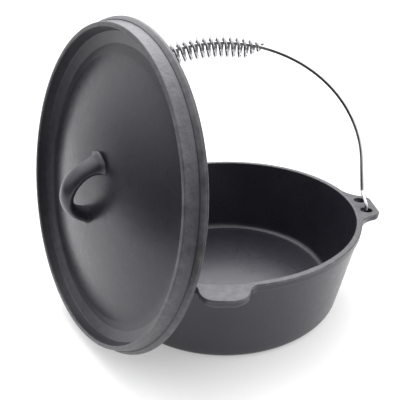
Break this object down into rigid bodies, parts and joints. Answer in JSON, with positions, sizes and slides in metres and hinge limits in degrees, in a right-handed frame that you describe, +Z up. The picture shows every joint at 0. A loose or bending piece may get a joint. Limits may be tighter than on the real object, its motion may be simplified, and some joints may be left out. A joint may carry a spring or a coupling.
{
  "type": "dutch oven",
  "caption": "Shallow cast iron dutch oven with a pouring lip, its flanged loop-handled lid leaning on the rim, and a wire bail with a spring grip standing up.",
  "frame": {"origin": "centre of the pot's flat base", "axes": "+Z up, +X and -X through the two ears, -Y towards the pouring lip; the lid leans on the rim on the -X -Y side"},
  "size_m": [0.3895, 0.3378, 0.2951],
  "materials": {
    "seasoned_iron": "matte seasoned, fine sand-cast grain",
    "bright_wire": "polished plated wire"
  },
  "bodies": {
    "pot": {"pot_body": "seasoned_iron"},
    "lid": {"lid": "seasoned_iron", "lid_loop": "seasoned_iron"},
    "bail": {"bail_wire": "bright_wire", "spring_grip": "bright_wire"}
  },
  "joints": [
    {"name": "bail_swing", "type": "hinge", "parent": "pot", "child": "bail", "pos_m": [0, 0, 0.0952], "axis": [1, 0, 0], "range_deg": [-41, 30]},
    {"name": "lid_lift", "type": "slide", "parent": "pot", "child": "lid", "axis": [-0.7614, -0.5927, 0.2627], "range_m": [0, 0.16]}
  ]
}
